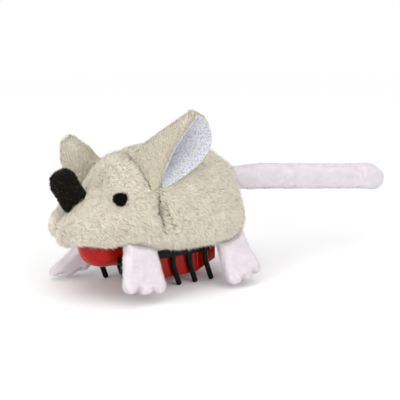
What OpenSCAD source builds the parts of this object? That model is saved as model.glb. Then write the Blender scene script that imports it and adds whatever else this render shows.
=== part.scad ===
// Plush mouse on a vibrating bristle drive.
// The mouse faces -Y, its left side is +X and Z = 0 is the floor that its rubber legs stand on.
// Y = 0 is half way between the snout and the end of the tail.

/* [Drive body] */
// Length of the moulded drive body
drive_l = 43; // [42:0.5:46]
// Height of the rounded capsule that holds the motor
capsule_h = 10.6; // [10:0.2:11.4]
// Height of the capsule's axis above the joint between chassis and upper shell
axis_rise = 1.2; // [0.8:0.1:1.6]
// Wall of the chassis and of the upper shell
wall = 1; // [0.8:0.1:1.2]
// Gap between the floor and the battery door
ground_gap = 2.3; // [1.8:0.1:3]
// Outer radius of the lower edges of the battery box
edge_r = 1.2; // [0.8:0.1:1.6]

/* [Button cell and door] */
// Diameter of the button cell
cell_d = 11.6; // [11.4:0.1:12]
// Height of the button cell
cell_h = 5.4; // [5:0.1:5.6]
// Gap between the cell and its holder
cell_gap = 0.2; // [0.1:0.05:0.3]
// Thickness of the battery door
door_t = 1.2; // [1:0.1:1.5]
// Gap between the door and the chassis
door_gap = 0.12; // [0.1:0.02:0.2]
// Width of the tongues at the ends of the door
tongue_w = 5.2; // [4.6:0.1:5.8]
// Shank diameter of the screws
screw_d = 1.6; // [1.4:0.1:1.8]
// Head diameter of the screws
screw_head_d = 3; // [2.8:0.1:3.2]
// Thickness of the screw heads
screw_head_h = 0.7; // [0.6:0.1:0.8]

/* [Rubber legs] */
// Number of legs on each side
leg_count = 6; // [5:1:6]
// Distance from leg to leg
leg_pitch = 5.3; // [5:0.1:5.4]
// Diameter of one leg
leg_d = 1.6; // [1.3:0.1:1.8]
// Angle by which the foot of a leg trails backwards
leg_rake = 18; // [10:1:24]
// Radius of the bend in a leg
leg_bend_r = 9; // [7:0.5:10]
// Height of the rail that joins the legs
rail_h = 2.1; // [1.8:0.1:2.4]
// Depth of the groove in the chassis that the rail sits in
rail_seat = 0.5; // [0.3:0.05:0.6]
// Diameter of the studs that hold a rail in the chassis
stud_d = 1.4; // [1.2:0.1:1.6]

/* [Motor and circuit] */
// Diameter of the vibration motor
motor_d = 6; // [5.6:0.1:6.2]
// Length of the motor's steel can
can_l = 8.2; // [7.6:0.1:8.4]
// Diameter of the motor's shaft
shaft_d = 0.8; // [0.6:0.1:1]
// Clearance round the shaft in its bearings
shaft_gap = 0.04; // [0.02:0.01:0.06]
// Radius of the eccentric weight
weight_r = 2.8; // [2.4:0.1:3]
// Length of the eccentric weight
weight_l = 3.4; // [2.8:0.1:3.6]
// Thickness of the circuit board
board_t = 0.8; // [0.6:0.1:1]
// Travel of the slide switch from off to on
switch_travel = 1.6; // [1.2:0.1:2]
// Thickness of the contact springs
spring_t = 0.25; // [0.2:0.05:0.3]

/* [Plush cover] */
// Length of the stuffed body, snout to rump
cover_l = 57.5; // [56:0.5:61]
// Width of the stuffed body at its widest
cover_w = 35; // [34:0.5:38]
// Height of the stuffed body, from its hem to the top of its back
cover_h = 28.2; // [27.6:0.2:31]
// Height of the hem above the floor at its lowest
hem_z = 12.4; // [12:0.1:13]
// Thickness of the plush with its pile
plush_t = 2.4; // [2:0.1:2.8]
// Width of the belly panel's seam on the turned-in hem
hem_lap = 1.6; // [1.2:0.1:2]
// Thickness of the woven belly panel
belly_t = 0.6; // [0.4:0.1:0.8]

/* [Ears and nose] */
// Length of an ear from its seam to its tip
ear_l = 24; // [21:0.5:26]
// Width of an ear, laid flat
ear_w = 21; // [18:0.5:23]
// Thickness of the plush on an ear's back
ear_plush_t = 1.6; // [1.2:0.1:2]
// Thickness of the fabric that lines an ear
ear_lining_t = 0.7; // [0.5:0.1:0.9]
// Length of the felt nose above the snout
nose_l = 11.5; // [10:0.5:13]
// Width of the felt nose
nose_w = 6.8; // [5.5:0.1:7.5]
// Thickness of the felt nose
nose_t = 2.2; // [1.6:0.1:2.6]
// Diameter of an eye
eye_d = 3.8; // [3:0.1:5]
// Thickness of the felt of an eye
eye_t = 1.4; // [1:0.1:1.8]

/* [Paws and tail] */
// Length of a paw from the hem to its toes
paw_l = 13; // [12:0.5:13.5]
// Width of a paw at the hem
paw_root_w = 9.5; // [8:0.5:11]
// Diameter of a toe
toe_d = 4.8; // [4:0.1:5.4]
// Thickness of a paw
paw_t = 2.6; // [2:0.1:3]
// Length of the tail behind the rump
tail_l = 56; // [48:1:60]
// Height of the tail's flattened tube
tail_w = 8.6; // [7:0.1:9.5]
// Thickness of the tail's flattened tube
tail_t = 4; // [3:0.1:5]
// Angle by which the tail drops towards its end
tail_drop = 8; // [0:1:12]

/* [Hidden] */
$fn = 48;
eps = 0.01;

// Drive: everything follows from the cell, the wall and the capsule
cell_y = 2.6;
bore_r = cell_d / 2 + cell_gap;
drive_w = 2 * (bore_r + wall);
cell_z = ground_gap + door_t + cell_gap;
cell_top = cell_z + cell_h;
board_z = cell_top + 1;
axis_z = ground_gap + 10.5;
split_z = axis_z - axis_rise;
capsule_top = axis_z + capsule_h / 2;
box_front = cell_y - bore_r - 2.4;
box_rear = cell_y + bore_r + 5;
ramp_end = box_rear + 5.6;
ramp_z = ground_gap + 3.2;
plan_r = 4;

// Motor: the can ends just before the board
can_rear = box_front + 0.6;
can_front = can_rear - can_l;
cap_l = 1;
bearing_l = 1.2;
weight_rear = can_front - 0.6;
weight_front = weight_rear - weight_l;
hub_r = shaft_d / 2 + 0.7;
rib_t = 1.2;
rib_ys = [can_front + 1.2, can_rear - 2.4];

// Screws
boss_r = screw_d / 2 + 1;
door_screw_y = cell_y + bore_r + 2.2;
case_x = drive_w / 2 - boss_r - 0.2;
case_ys = [box_front + boss_r - 0.2, box_rear - boss_r + 0.2];
case_head_z = ground_gap + 2.2;
case_screw_l = split_z + 2.6 - case_head_z;
pilot_gap = 0.02;

// Board, switch and contacts
board_w = 8;
board_front = can_rear + 0.8;
board_rear = drive_l / 2 - 4.2;
switch_y = box_rear + 2.6;
switch_w = 6.4;
switch_d = 3;
switch_h = 2.4;
knob_w = 1.8;
knob_d = 1.4;
knob_z = ramp_z - 2.1;
knob_gap = 0.15;
contact_w = 3;

// Legs
leg_x = drive_w / 2 + leg_d / 2 + 0.1;
leg_r = leg_d / 2;
rail_z = split_z - 0.3 - rail_h;
rail_x0 = drive_w / 2 - rail_seat;
rail_x1 = leg_x + leg_r * 0.7;
last_leg_y = drive_l / 2 - 6.8;
leg_ys = [for (i = [0:leg_count - 1]) last_leg_y - i * leg_pitch];
rail_end = leg_r + 0.3;
bend_z = rail_z - 1.2;
foot_flat = 0.08;
bend_drop = leg_bend_r * sin(leg_rake);
bend_back = leg_bend_r * (1 - cos(leg_rake));
shin_l = (bend_z - bend_drop - leg_r + foot_flat) / cos(leg_rake);
stud_ys = [cell_y - 4.9, cell_y + 4.9];
stud_l = 1;

// Stuffed body: each row is [share of the half turn from snout to rump,
// share of the width, height of the top and of the bottom as shares of cover_h, roundness above]
body_rows = [
    [0.00, 0.00, 0.27, 0.27, 2.4],
    [0.10, 0.46, 0.37, 0.18, 2.5],
    [0.17, 0.60, 0.43, 0.16, 2.4],
    [0.24, 0.70, 0.53, 0.15, 2.0],
    [0.29, 0.77, 0.65, 0.13, 1.5],
    [0.34, 0.84, 0.86, 0.12, 1.48],
    [0.40, 0.91, 0.96, 0.08, 1.8],
    [0.49, 0.97, 1.00, 0.02, 2.0],
    [0.60, 1.00, 0.99, 0.00, 2.2],
    [0.70, 0.98, 0.94, 0.01, 2.2],
    [0.79, 0.85, 0.82, 0.04, 2.2],
    [0.87, 0.60, 0.63, 0.10, 2.2],
    [1.00, 0.00, 0.36, 0.36, 2.2]
];
snout_y = -29;
widest = 0.3;
round_bottom = 4;
ring_n = 24;
body_steps = 24;
body_end = 0.035;
fabric_gap = 0.1;
seat_gap = 0.3;

// Stations along the body, close together at the seam across it, which leans forward at its top
seam_step = 11;
seam_depth = 0.8;
seam_half = 0.012;
seam_lean = 0.03;
seam_reach = 0.15;
shares = [for (k = [0:body_steps]) let (s = body_end + (1 - 2 * body_end) * k / body_steps)
    each k == seam_step ? [s - seam_half, s, s + seam_half] : [s]];
seam_share = shares[seam_step + 1];
last_ring = len(shares) - 1;
// Cells of the body's grid that the belly opening leaves out
inner_first = 2;
open_first = 4;
open_last = last_ring - 3;
open_cells = 2;

// Whole length: the origin lies half way
tail_root_y = snout_y + cover_l - 1;
tail_root_z = hem_z + 0.56 * cover_h;
tail_end_y = tail_root_y + tail_l * cos(tail_drop);
mid_y = (snout_y + tail_end_y) / 2;

// Ears: the seam starts, turns and ends at these [share, angle] places on the body; then the way
// from the turn to the tip, and how far the first, middle and last thirds bow out on the way
left_ear = [[0.474, 33], [0.464, 74], [0.484, 32],
            [10.6, 12.2, 11.7], [[0.5, -2.3, 0.4], [0.2, 0.2, 0], [1.6, 7.6, 0]], -1];
right_ear = [[0.436, 158], [0.43, 147], [0.447, 163],
             [-5.6, -10.3, 8.3], [[-0.8, -5.6, -2.4], [1, -1.8, 0.8], [1.4, -1.6, -1.4]], 1];
ear_reach = ear_l / 24;
ear_spread = ear_w / 21;
leaf_steps = 10;
leaf_end = 0.96;
fold_steps = 6;
tail_n = 24;

// Paws: share at the hem, way to the toes, way across them and stretch of the length
front_left = [0.4, [5.5, -1, -11.9], [0, 1, -0.1], 0.97];
front_right = [0.38, [-0.4, -9.7, -13.7], [-0.13, -1, -0.17], 1.29];
rear_left = [0.755, [5.6, 3.2, -11.5], [-0.1, 0.93, 0.22], 1];
rear_right = [0.755, [-5.6, 3.2, -11.5], [-0.1, -0.93, -0.22], 1];
paw_x = cover_w / 2 - 4.5;
toe_count = 3;
toe_pitch = 0.86 * toe_d;

// ---- shared functions ----

function unit(v) = v / norm(v);

// The row segment that holds t
function seg(t, rows, i = 0) = i >= len(rows) - 2 || t < rows[i + 1][0] ? i : seg(t, rows, i + 1);

// Slope of column k at row i
function slope(rows, i, k) =
    let (a = max(i - 1, 0), b = min(i + 1, len(rows) - 1))
    (rows[b][k] - rows[a][k]) / (rows[b][0] - rows[a][0]);

// Smooth value of column k at t, through every row
function along(t, rows, k) =
    let (i = seg(t, rows), h = rows[i + 1][0] - rows[i][0], u = (t - rows[i][0]) / h, v = 1 - u)
    rows[i][k] * (1 + 2 * u) * v * v + rows[i + 1][k] * u * u * (3 - 2 * u)
    + h * slope(rows, i, k) * u * v * v - h * slope(rows, i + 1, k) * u * u * v;

function power(v, p) = sign(v) * pow(abs(v), p);

function body_y(s) = snout_y + cover_l * (1 - cos(180 * s)) / 2;
function body_w(s) = cover_w / 2 * along(s, body_rows, 1);
function body_top(s) = hem_z + cover_h * along(s, body_rows, 2);
function body_bottom(s) = hem_z + cover_h * along(s, body_rows, 3);

// Point of the stuffed body at share s, angle a round the ring and depth inset below the skin
function skin(s, a, inset = 0) =
    let (
        w = body_w(s) - inset,
        top = body_top(s) - inset,
        bottom = body_bottom(s) + inset,
        mid = bottom + widest * (top - bottom),
        n = sin(a) > 0 ? along(s, body_rows, 4) : round_bottom,
        h = sin(a) > 0 ? top - mid : mid - bottom
    )
    [w * power(cos(a), 2 / n), body_y(s), mid + h * power(sin(a), 2 / n)];

// ---- shared modules ----

// A loft through rings of equally many points, with flat ends
module loft(rings) {
    n = len(rings[0]);
    last = (len(rings) - 1) * n;
    polyhedron(
        points = [for (r = rings) each r],
        faces = concat(
            [[for (i = [0:n - 1]) n - 1 - i]],
            [for (k = [0:len(rings) - 2], i = [0:n - 1])
                let (a = k * n + i, b = k * n + (i + 1) % n) [a, b, b + n]],
            [for (k = [0:len(rings) - 2], i = [0:n - 1])
                let (a = k * n + i, b = k * n + (i + 1) % n) [a, b + n, a + n]],
            [[for (i = [0:n - 1]) last + i]]));
}

// Stadium with its long side along X
module stadium(w, h) {
    square([w - h, h], center = true);
    for (s = [-1, 1]) translate([s * (w - h) / 2, 0]) circle(d = h);
}

// Flat bar along Y with a stadium section and round ends
module long_pill(l, w, h) {
    rotate([90, 0, 0]) linear_extrude(l - w, center = true) stadium(w, h);
    for (s = [-1, 1])
        translate([0, s * (l - w) / 2, 0])
            rotate_extrude() intersection() {
                stadium(w, h);
                translate([0, -h]) square([w, 2 * h]);
            }
}

// Box from z0 to z1 with plan corners r and rounded lower edges e
module tub(x, y0, y1, z0, z1, r, e) {
    module half(w) {
        translate([0, e]) square([w, z1 - z0 - e]);
        square([w - e, e + eps]);
        translate([w - e, e]) circle(e);
    }
    module full(w) {
        half(w);
        mirror([1, 0]) half(w);
    }
    translate([0, (y0 + y1) / 2, z0]) {
        rotate([90, 0, 0]) linear_extrude(y1 - y0 - 2 * r, center = true) full(x / 2);
        rotate([90, 0, 90]) linear_extrude(x - 2 * r, center = true) full((y1 - y0) / 2);
        for (sx = [-1, 1], sy = [-1, 1])
            translate([sx * (x / 2 - r), sy * ((y1 - y0) / 2 - r), 0]) rotate_extrude() half(r);
    }
}

// Cylinder along +Y from y
module rod_y(d, y, l) {
    translate([0, y, axis_z]) rotate([-90, 0, 0]) cylinder(d = d, h = l);
}

// Ring of the stuffed body at station k, from the middle of the belly round over the left side
function ring(k, inset = 0) =
    let (
        lean = seam_lean * exp(-pow((shares[k] - seam_share) / seam_reach, 2)),
        depth = k == seam_step + 1 && inset == 0 ? seam_depth : inset
    )
    [for (i = [0:ring_n - 1]) let (a = i * 360 / ring_n - 90)
        skin(shares[k] - lean * sin(a), a, depth)];

// Half the width of the belly panel, which laps over the hem
function panel_x(s) = min(skin(s, open_cells * 360 / ring_n - 90)[0] + hem_lap,
                          0.85 * (body_w(s) - plush_t));

// Outline of the belly panel's left half
panel_half = [for (k = [open_first:open_last]) let (s = shares[k])
    [panel_x(s), body_y(s) + (k == open_first ? -hem_lap : k == open_last ? hem_lap : 0) / 4]];

// Height of the cover's inner surface at x, and of the belly panel's underside
function inner_z(s, x) =
    let (p = skin(s, 0, plush_t), h = p[2] - body_bottom(s) - plush_t)
    p[2] - h * pow(max(1 - pow(min(x / p[0], 1), round_bottom), 0), 1 / round_bottom);

function panel_z(s) = inner_z(s, panel_x(s)) + 2 * fabric_gap;

function flipped(points) =
    [for (i = [len(points) - 1:-1:0]) [-points[i][0], points[i][1]]];

// ---- bristle drive ----

// Outer form of the drive, grown by g (negative for the inside)
module drive_form(g = 0) {
    translate([0, 0, axis_z])
        long_pill(drive_l + 2 * g, drive_w + 2 * g, capsule_h + 2 * g);
    tub(drive_w + 2 * g, box_front - g, box_rear + g, ground_gap - g, axis_z,
        plan_r + g, max(edge_r + g, 0.2));
    // ramp from the battery box up to the tail end of the capsule
    translate([0, 0, g < 0 ? -g : 0]) rotate([90, 0, 90])
        linear_extrude(drive_w - 2 * edge_r + 2 * g, center = true)
            polygon([[box_rear - plan_r, ground_gap], [box_rear - 0.8, ground_gap],
                     [ramp_end, ramp_z], [ramp_end, axis_z], [box_rear - plan_r, axis_z]]);
}

// Everything of the drive form above or below the joint between chassis and shell
module above_split() {
    translate([-drive_w, -drive_l, split_z]) cube([2 * drive_w, 2 * drive_l, capsule_h]);
}

module below_split() {
    translate([-drive_w, -drive_l, -1]) cube([2 * drive_w, 2 * drive_l, split_z + 1]);
}

module case_posts() {
    for (x = [-case_x, case_x], y = case_ys) translate([x, y, 0]) children();
}

// Plan of the battery door, grown by g
module door_plan(g = 0) {
    translate([0, cell_y]) circle(bore_r + 0.15 + g);
    translate([-tongue_w / 2 - g, box_front + 1.4 - g])
        square([tongue_w + 2 * g, door_screw_y - box_front + boss_r - 1.4 + 2 * g]);
}

module chassis() color("#a3141a") difference() {
    union() {
        intersection() {
            difference() {
                drive_form();
                intersection() {
                    drive_form(-wall);
                    translate([-drive_w, -drive_l, ground_gap + wall])
                        cube([2 * drive_w, 2 * drive_l, capsule_h * 2]);
                }
            }
            below_split();
        }
        // holder round the cell
        translate([0, cell_y, ground_gap + edge_r])
            cylinder(r = bore_r + wall - eps, h = cell_top - ground_gap - edge_r);
        // bosses for the screws
        case_posts() translate([0, 0, ground_gap + 0.5])
            cylinder(r = boss_r, h = split_z - ground_gap - 0.5);
        translate([0, door_screw_y, ground_gap + 0.5])
            cylinder(r = boss_r, h = cell_top - ground_gap - 0.5);
        // cradle ribs under the motor
        for (y = rib_ys) translate([-motor_d / 2 - 1, y - rib_t / 2, axis_z - capsule_h / 2 + 0.4])
            cube([motor_d + 2, rib_t, split_z - axis_z + capsule_h / 2 - 0.4]);
    }
    // cell bore, door recess and the notch for the positive contact
    translate([0, cell_y, ground_gap - 1]) cylinder(r = bore_r, h = cell_top + 5);
    translate([0, 0, ground_gap - 1]) linear_extrude(door_t + 1 + door_gap) door_plan(door_gap);
    translate([-contact_w / 2 - 0.2, board_front - 0.2, cell_z])
        cube([contact_w + 0.4, cell_y - board_front, capsule_h * 2]);
    // screw holes
    case_posts() {
        translate([0, 0, -1]) cylinder(d = screw_d + pilot_gap, h = axis_z + 2);
        translate([0, 0, -1]) cylinder(d = screw_head_d + 0.2, h = case_head_z + 1 + screw_head_h);
    }
    translate([0, door_screw_y, -1]) cylinder(d = screw_d + pilot_gap, h = cell_top - 0.5);
    // motor seat
    rod_y(motor_d + 2 * pilot_gap, can_front - 2, can_l + 4);
    // slot for the switch knob
    translate([-(switch_travel + knob_w) / 2 - knob_gap, switch_y - knob_d / 2 - knob_gap, 0])
        cube([switch_travel + knob_w + 2 * knob_gap, knob_d + 2 * knob_gap, ramp_z + wall + 1]);
    // grooves and stud holes for the leg strips
    for (m = [0, 1]) mirror([m, 0, 0]) {
        translate([rail_x0, leg_ys[leg_count - 1] - rail_end, rail_z])
            cube([drive_w, last_leg_y - leg_ys[leg_count - 1] + 2 * rail_end, rail_h]);
        for (y = stud_ys) translate([rail_x0 - stud_l, y, rail_z + rail_h / 2])
            rotate([0, 90, 0]) cylinder(d = stud_d, h = drive_w);
    }
}

module upper_shell() color("#b3161d") difference() {
    union() {
        intersection() {
            difference() {
                drive_form();
                drive_form(-wall);
            }
            above_split();
        }
        // posts that the case screws bite into
        intersection() {
            case_posts() translate([0, 0, split_z]) cylinder(r = boss_r, h = capsule_h);
            drive_form();
            above_split();
        }
        // ribs that hold the motor and the board down
        intersection() {
            for (y = rib_ys) translate([-drive_w, y - rib_t / 2, split_z + 0.2])
                cube([2 * drive_w, rib_t, capsule_h]);
            drive_form();
        }
    }
    rod_y(motor_d + 0.1, can_front - 2, can_l + 4);
    case_posts() translate([0, 0, split_z - 1])
        cylinder(d = screw_d, h = case_screw_l - split_z + case_head_z + 1 + screw_head_h);
}

// Rail and legs moulded in one piece of rubber, on the left side
module leg_strip() {
    front = leg_ys[leg_count - 1] - rail_end;
    translate([rail_x0, front, rail_z])
        cube([rail_x1 - rail_x0, last_leg_y + rail_end - front, rail_h]);
    for (y = stud_ys) translate([rail_x0 - stud_l, y, rail_z + rail_h / 2])
        rotate([0, 90, 0]) cylinder(d = stud_d, h = stud_l + eps);
    for (y = leg_ys) translate([leg_x, y, 0]) difference() {
        union() {
            translate([0, 0, bend_z]) cylinder(r = leg_r, h = rail_z + rail_h - bend_z);
            translate([0, leg_bend_r, bend_z]) rotate([0, 90, 0]) rotate([0, 0, -90])
                rotate_extrude(angle = leg_rake) translate([leg_bend_r, 0]) circle(leg_r);
            translate([0, bend_back, bend_z - bend_drop]) rotate([180 + leg_rake, 0, 0])
                rotate_extrude() {
                    square([leg_r, shin_l]);
                    translate([0, shin_l]) intersection() {
                        circle(leg_r);
                        translate([0, -leg_r]) square([leg_r, 2 * leg_r]);
                    }
                }
        }
        translate([-5, -10, -5]) cube([10, 30, 5]);
    }
}

module left_leg_strip() color("#141614") leg_strip();

module right_leg_strip() color("#141614") mirror([1, 0, 0]) leg_strip();

module motor_can() color("#b9bcc0") difference() {
    union() {
        rod_y(motor_d, can_front, can_l);
        rod_y(2.4, can_front - 0.4, 0.5);
    }
    rod_y(shaft_d + 2 * shaft_gap, can_front - 1, can_l + 2);
}

module motor_end_cap() color("#e8e4da") difference() {
    rod_y(motor_d - 0.8, can_rear, cap_l - 0.3);
    rod_y(shaft_d + 2 * shaft_gap, can_rear - 1, 1.4);
}

module motor_shaft() color("#d6d8da") rod_y(shaft_d, weight_front, can_rear - weight_front + 0.2);

module eccentric_weight() color("#8d8578") translate([0, weight_front, axis_z])
    rotate([-90, 0, 0]) linear_extrude(weight_l) difference() {
        union() {
            circle(hub_r);
            intersection() {
                circle(weight_r);
                translate([-weight_r, 0.1]) square(2 * weight_r);
            }
        }
        circle(d = shaft_d);
    }

module circuit_board() color("#2f6b3a") difference() {
    translate([-board_w / 2, board_front, board_z])
        cube([board_w, board_rear - board_front, board_t]);
    // corners cut back round the case posts
    case_posts() translate([0, 0, board_z - 1]) cylinder(r = boss_r + 0.15, h = board_t + 2);
    // slot for the positive contact
    translate([-contact_w / 2 - 0.1, board_front - eps, board_z - 1])
        cube([contact_w + 0.2, spring_t + 0.35, board_t + 2]);
}

module switch_body() color("#c9c9c4") difference() {
    translate([-switch_w / 2, switch_y - switch_d / 2, board_z - switch_h])
        cube([switch_w, switch_d, switch_h]);
    translate([-(switch_travel + knob_w) / 2 - knob_gap, switch_y - knob_d / 2 - knob_gap,
               board_z - switch_h - 1])
        cube([switch_travel + knob_w + 2 * knob_gap, knob_d + 2 * knob_gap, 2.2]);
}

module switch_knob() color("#1b1b1d") translate([-(switch_travel + knob_w) / 2, switch_y, 0]) {
    translate([0, -knob_d / 2, knob_z + knob_d / 2])
        cube([knob_w, knob_d, board_z - switch_h + 1 - knob_z - knob_d / 2]);
    translate([0, 0, knob_z + knob_d / 2]) rotate([0, 90, 0]) cylinder(d = knob_d, h = knob_w);
}

module button_cell() color("#c3c6c8") translate([0, cell_y, cell_z]) {
    // steel can with a rounded rim, and the smaller terminal at its top
    rotate_extrude() {
        square([cell_d / 2 - 0.4, cell_h - 0.5]);
        translate([0, 0.4]) square([cell_d / 2, cell_h - 0.9]);
        translate([cell_d / 2 - 0.4, 0.4]) circle(0.4);
        square([cell_d / 2 - 1.4, cell_h]);
    }
}

// Strip of spring metal cut to a side outline
module strip(points) {
    rotate([90, 0, 90]) linear_extrude(contact_w, center = true) polygon(points);
}

module negative_contact() color("#d9c069") {
    solder = board_z - spring_t;
    rest = cell_top + eps;
    strip([
        [cell_y + 5, board_z], [cell_y + 5, solder], [cell_y + 3, solder],
        [cell_y + 0.6, rest], [cell_y - 0.6, rest], [cell_y - 1.6, rest + 0.5],
        [cell_y - 1.6, rest + 0.5 + spring_t], [cell_y - 0.6, rest + spring_t],
        [cell_y + 0.6, rest + spring_t], [cell_y + 3, board_z]
    ]);
}

module positive_contact() color("#d9c069") {
    side = cell_y - cell_d / 2 - eps;
    back = board_front;
    strip([
        [back, board_z + board_t + 0.6], [back, cell_top],
        [side - spring_t, cell_z + 3.2], [side - spring_t - 0.3, cell_z + 0.6],
        [side - 0.3, cell_z + 0.6], [side, cell_z + 3.2],
        [back + spring_t, cell_top], [back + spring_t, board_z + board_t + 0.6]
    ]);
}

module battery_door() color("#a3141a") difference() {
    translate([0, 0, ground_gap]) linear_extrude(door_t) door_plan();
    // countersunk screw hole and a nick to lift the door by
    translate([0, door_screw_y, ground_gap - 1]) cylinder(d = screw_d + 0.1, h = door_t + 2);
    translate([0, door_screw_y, ground_gap - 1])
        cylinder(d = screw_head_d + 0.1, h = 1 + screw_head_h);
    for (i = [-1, 0, 1]) translate([-1.6, box_front + 2.6 + i * 0.7, ground_gap - 0.3])
        cube([3.2, 0.35, 0.6]);
}

// Pan-head screw with a cross recess, its head at z and its tip pointing up
module screw(z, l) {
    difference() {
        union() {
            translate([0, 0, z]) cylinder(d = screw_head_d, h = screw_head_h);
            translate([0, 0, z]) cylinder(d = screw_d, h = l);
        }
        for (a = [0, 90]) rotate([0, 0, a])
            translate([-0.9, -0.2, z - 1]) cube([1.8, 0.4, 1.4]);
    }
}

module door_screw() color("#9a9da0") translate([0, door_screw_y, 0])
    screw(ground_gap, cell_top - 3 - ground_gap);

module case_screws() color("#9a9da0") case_posts() screw(case_head_z, case_screw_l);

// Lead from the motor's end cap to the board, on the side of x
module lead(x) {
    start = can_rear + cap_l - 0.3;
    height = board_z + board_t;
    translate([x, start, axis_z]) rotate([-90, 0, 0]) cylinder(d = 0.9, h = 1.6);
    translate([x, start + 1.6, axis_z]) sphere(d = 0.9);
    translate([x, start + 1.6, height]) cylinder(d = 0.9, h = axis_z - height);
}

module motor_lead_red() color("#c02020") lead(1.9);

module motor_lead_black() color("#202020") lead(-1.9);

// ---- plush mouse ----

// Outward normal of the stuffed body
function skin_normal(s, a) =
    unit(cross(skin(s, a + 1) - skin(s, a - 1), skin(s + 0.005, a) - skin(s - 0.005, a)));

// How far p lies outside the stuffed body: negative inside it
function outside(p) =
    let (t = min(max((p[1] - snout_y) / cover_l, 0.001), 0.999), s = acos(1 - 2 * t) / 180,
         a = skin(s, 0, -seat_gap), top = body_top(s) + seat_gap,
         bottom = body_bottom(s) - seat_gap, up = p[2] > a[2],
         n = up ? along(s, body_rows, 4) : round_bottom, h = up ? top - a[2] : a[2] - bottom)
    pow(abs(p[0]) / a[0], n) + pow(abs(p[2] - a[2]) / h, n) - 1;

// Where a line from p along way leaves the stuffed body, searched from lo to hi
function landed(p, way, lo = -7, hi = 7, k = 16) =
    let (m = (lo + hi) / 2)
    k == 0 ? p + way * hi
    : outside(p + way * m) < 0 ? landed(p, way, m, hi, k - 1) : landed(p, way, lo, m, k - 1);

// Value at v of the smooth curve through three, at -1, 0 and 1
function through(three, v) =
    three[0] * (v * v - v) / 2 + three[1] * (1 - v * v) + three[2] * (v * v + v) / 2;

function seam_place(ear, v) = through([ear[0], ear[1], ear[2]], v);

function seam_point(ear, v) = skin(seam_place(ear, v)[0], seam_place(ear, v)[1], -fabric_gap);

// Point of an ear's lined face: v runs along the seam, u from the seam to the tip
function ear_point(ear, u, v) =
    let (
        tip = seam_point(ear, 0) + ear[3] * ear_reach,
        bow = sin(180 * u) * ear_spread,
        guides = [for (i = [0:2]) let (root = seam_point(ear, i - 1))
            root + (tip - root) * u + ear[4][i] * bow],
        start = seam_point(ear, v) - through([for (i = [-1:1]) seam_point(ear, i)], v)
    )
    through(guides, v) + start * pow(1 - u, 3);

// Point at depth d behind the lined face, pressed flat where it meets the body
function ear_layer(ear, u, v, d) =
    let (
        across = ear_point(ear, u, v + 0.05) - ear_point(ear, u, v - 0.05),
        along_u = ear_point(ear, u + 0.01, v) - ear_point(ear, u - 0.01, v),
        back = unit(cross(across, along_u)) * ear[5],
        p = ear_point(ear, u, v) + back * d,
        spare = d - ear_lining_t - 3 * fabric_gap
    )
    u == 0 ? landed(p, unit(ear[3]))
    : spare > 0 && outside(p) < 0 ? landed(p, -back, 0, spare) : p;

// One layer of an ear, from depth d0 to d1 behind its lined face
module ear_leaf(ear, d0, d1) {
    row = [for (i = [-fold_steps:fold_steps]) i / fold_steps];
    last = len(row) - 1;
    first = ear[5] > 0 ? d0 : d1;
    second = ear[5] > 0 ? d1 : d0;
    loft([for (k = [0:leaf_steps]) let (u = leaf_end * k / leaf_steps) concat(
        [for (i = [0:last]) ear_layer(ear, u, row[i], first)],
        [for (i = [last:-1:0]) ear_layer(ear, u, row[i], second)])]);
}

module ear_outer(ear) {
    lined = ear_lining_t + fabric_gap;
    ear_leaf(ear, lined, lined + ear_plush_t);
}

module left_ear_outer() color("#d9d2bf") ear_outer(left_ear);

module right_ear_outer() color("#d9d2bf") ear_outer(right_ear);

module left_ear_lining() color("#d5d2de") ear_leaf(left_ear, 0, ear_lining_t);

module right_ear_lining() color("#d5d2de") ear_leaf(right_ear, 0, ear_lining_t);

// Felt tongue that stands up from the bridge of the snout, its lower edge cut to the plush
nose_share = 0.235;
nose_tilt = 30;
module nose_tab() color("#15140f") {
    up = [0, -sin(nose_tilt), cos(nose_tilt)];
    side = [0, cos(nose_tilt), sin(nose_tilt)];
    root = [0, body_y(nose_share), body_top(nose_share)];
    r = nose_w / 2;
    edge = [for (i = [-2:2]) landed(root + side * i * r / 2, up)];
    arc = [for (a = [0:15:180]) root + up * (nose_l - r + r * sin(a)) + side * r * cos(a)];
    rotate([90, 0, 90]) linear_extrude(nose_t, center = true)
        polygon([for (p = concat(edge, arc)) [p[1], p[2]]]);
}

// The eyes are sewn on by hand, the right one lower
eye_share = 0.34;
eye_angles = [37, 27];
module eye(side) {
    angle = eye_angles[side > 0 ? 0 : 1];
    p = skin(eye_share, angle, -seat_gap - eye_t / 2);
    n = skin_normal(eye_share, angle);
    ball_r = (eye_d * eye_d / 4 + eye_t * eye_t / 4) / eye_t;
    mirror([side < 0 ? 1 : 0, 0, 0]) translate(p)
        rotate([0, acos(n[2]), atan2(n[1], n[0])]) {
            translate([0, 0, -eye_t / 2]) cylinder(d = eye_d, h = eye_t / 2);
            intersection() {
                translate([0, 0, eye_t / 2 - ball_r]) sphere(ball_r);
                translate([0, 0, -eps]) cylinder(d = eye_d, h = eye_t);
            }
        }
}

module left_eye() color("#15140f") eye(1);

module right_eye() color("#15140f") eye(-1);

// Flat padded mitt with scalloped toes, hanging from the hem
toe_r = toe_d / 2;
toes = [for (i = [0:toe_count - 1]) let (x = i - (toe_count - 1) / 2)
    [x * toe_pitch, paw_l - toe_r - abs(x) * 0.7]];

// Lowest place that toes i and i + 1 share
function toe_notch(i) =
    let (half = (toes[i + 1] - toes[i]) / 2, rise = sqrt(toe_r * toe_r - half * half) / norm(half))
    toes[i] + half + [-half[1], half[0]] * rise;

function toe_arc(i) =
    let (
        c = toes[i],
        a0 = i == 0 ? 185 : atan2(toe_notch(i - 1)[1] - c[1], toe_notch(i - 1)[0] - c[0]),
        a1 = i == toe_count - 1 ? -5 : atan2(toe_notch(i)[1] - c[1], toe_notch(i)[0] - c[0])
    )
    [for (k = [i == 0 ? 0 : 1:9]) let (a = a0 + (a1 - a0) * k / 9) c + toe_r * [cos(a), sin(a)]];

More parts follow.
